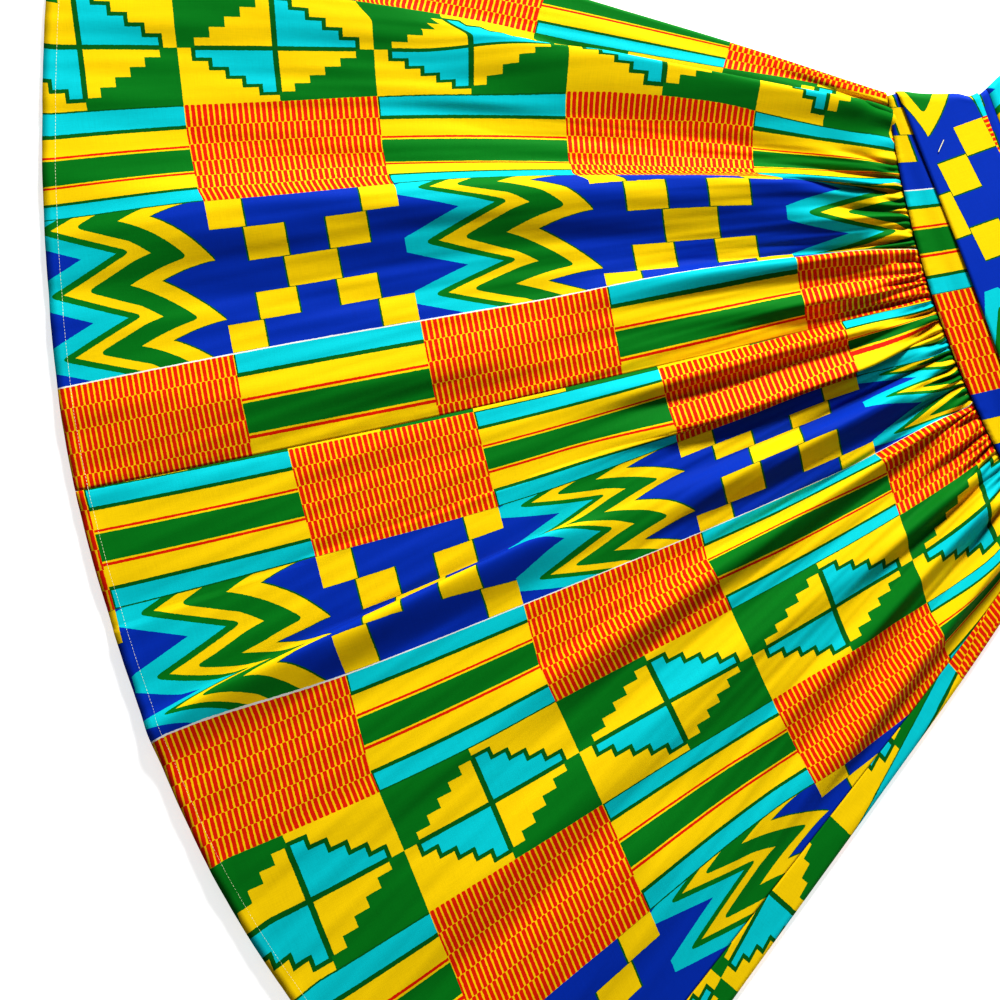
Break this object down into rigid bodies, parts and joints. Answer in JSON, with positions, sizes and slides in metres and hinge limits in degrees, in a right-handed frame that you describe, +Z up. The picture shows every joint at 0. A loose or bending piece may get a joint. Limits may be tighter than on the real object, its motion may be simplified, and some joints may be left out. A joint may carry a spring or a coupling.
{
  "type": "wax print dress",
  "caption": "Sleeveless cotton dress laid flat: gathered flared skirt, waistband, plain bodice and a wide wrapped belt, in a bright strip-weave style print.",
  "frame": {"origin": "on the surface it rests on, below the middle of its outline", "axes": "+Y along the dress from hem to neck, +X to the right seen from above with the neck away, +Z up from the surface"},
  "size_m": [1.1906, 1.1731, 0.0212],
  "materials": {
    "print_skirt": "printed plain-weave cotton",
    "print_back": "printed plain-weave cotton",
    "print_band": "printed plain-weave cotton",
    "print_bodice": "printed plain-weave cotton",
    "print_belt": "printed plain-weave cotton"
  },
  "bodies": {
    "root": {"skirt_front_left": "print_skirt", "skirt_front_right": "print_skirt", "skirt_back": "print_back", "waistband_front": "print_band", "waistband_back": "print_band", "bodice_front": "print_bodice", "bodice_back": "print_bodice", "belt": "print_belt"}
  },
  "joints": []
}
